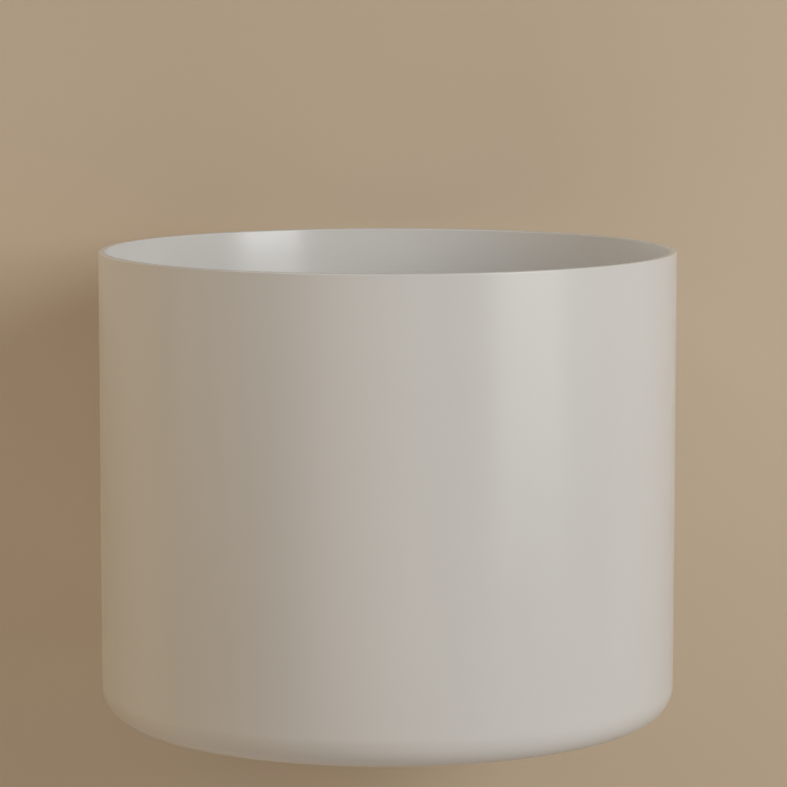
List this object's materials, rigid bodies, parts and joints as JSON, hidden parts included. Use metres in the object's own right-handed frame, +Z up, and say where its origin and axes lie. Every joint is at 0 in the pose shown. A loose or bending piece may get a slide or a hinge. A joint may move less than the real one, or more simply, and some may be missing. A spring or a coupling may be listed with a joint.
{
  "type": "wall hung basin",
  "caption": "Wall hung drum-shaped hand basin: thin-rimmed deep round bowl over a hollow skirt that hides a push-open waste, bottle trap and wall bolts.",
  "frame": {"origin": "on the wall plane, midway between the two wall fixings", "axes": "+X to the right seen from the user, -Y out of the wall towards the user, +Y into the wall, +Z up"},
  "size_m": [0.43, 0.497, 0.35],
  "materials": {
    "glaze": "satin white glaze",
    "black_brass": "matt black coating on brass",
    "raw_brass": "machined",
    "seal_rubber": "matt",
    "white_plastic": "moulded polypropylene",
    "nylon": "moulded nylon",
    "zinc_steel": "bright zinc plate",
    "spring_steel": "bright wire"
  },
  "bodies": {
    "basin": {"basin_body": "glaze", "hanger_bolts": "zinc_steel", "fixing_bushes": "nylon", "fixing_washers": "zinc_steel", "fixing_nuts": "zinc_steel", "waste_body": "black_brass", "waste_top_seal": "seal_rubber", "waste_under_seal": "seal_rubber", "waste_slip_washer": "white_plastic", "waste_back_nut": "raw_brass", "cartridge_sleeve": "raw_brass", "cartridge_spring": "spring_steel", "trap_inlet_nut": "white_plastic", "trap_inlet_seal": "seal_rubber", "trap_neck_nut": "white_plastic", "trap_neck_seal": "seal_rubber", "trap_dip_tube": "white_plastic", "trap_body": "white_plastic", "trap_cup": "white_plastic", "trap_cup_seal": "seal_rubber", "trap_outlet_nut": "white_plastic", "trap_outlet_seal": "seal_rubber", "waste_pipe": "white_plastic", "wall_rosette": "white_plastic"},
    "plug": {"plug_cap": "black_brass", "plug_seal": "seal_rubber", "plug_stem": "raw_brass"}
  },
  "joints": [
    {"name": "plug_slide", "type": "slide", "parent": "basin", "child": "plug", "axis": [0, 0, 1], "range_m": [0, 0.009], "deforming": ["cartridge_spring"]}
  ]
}
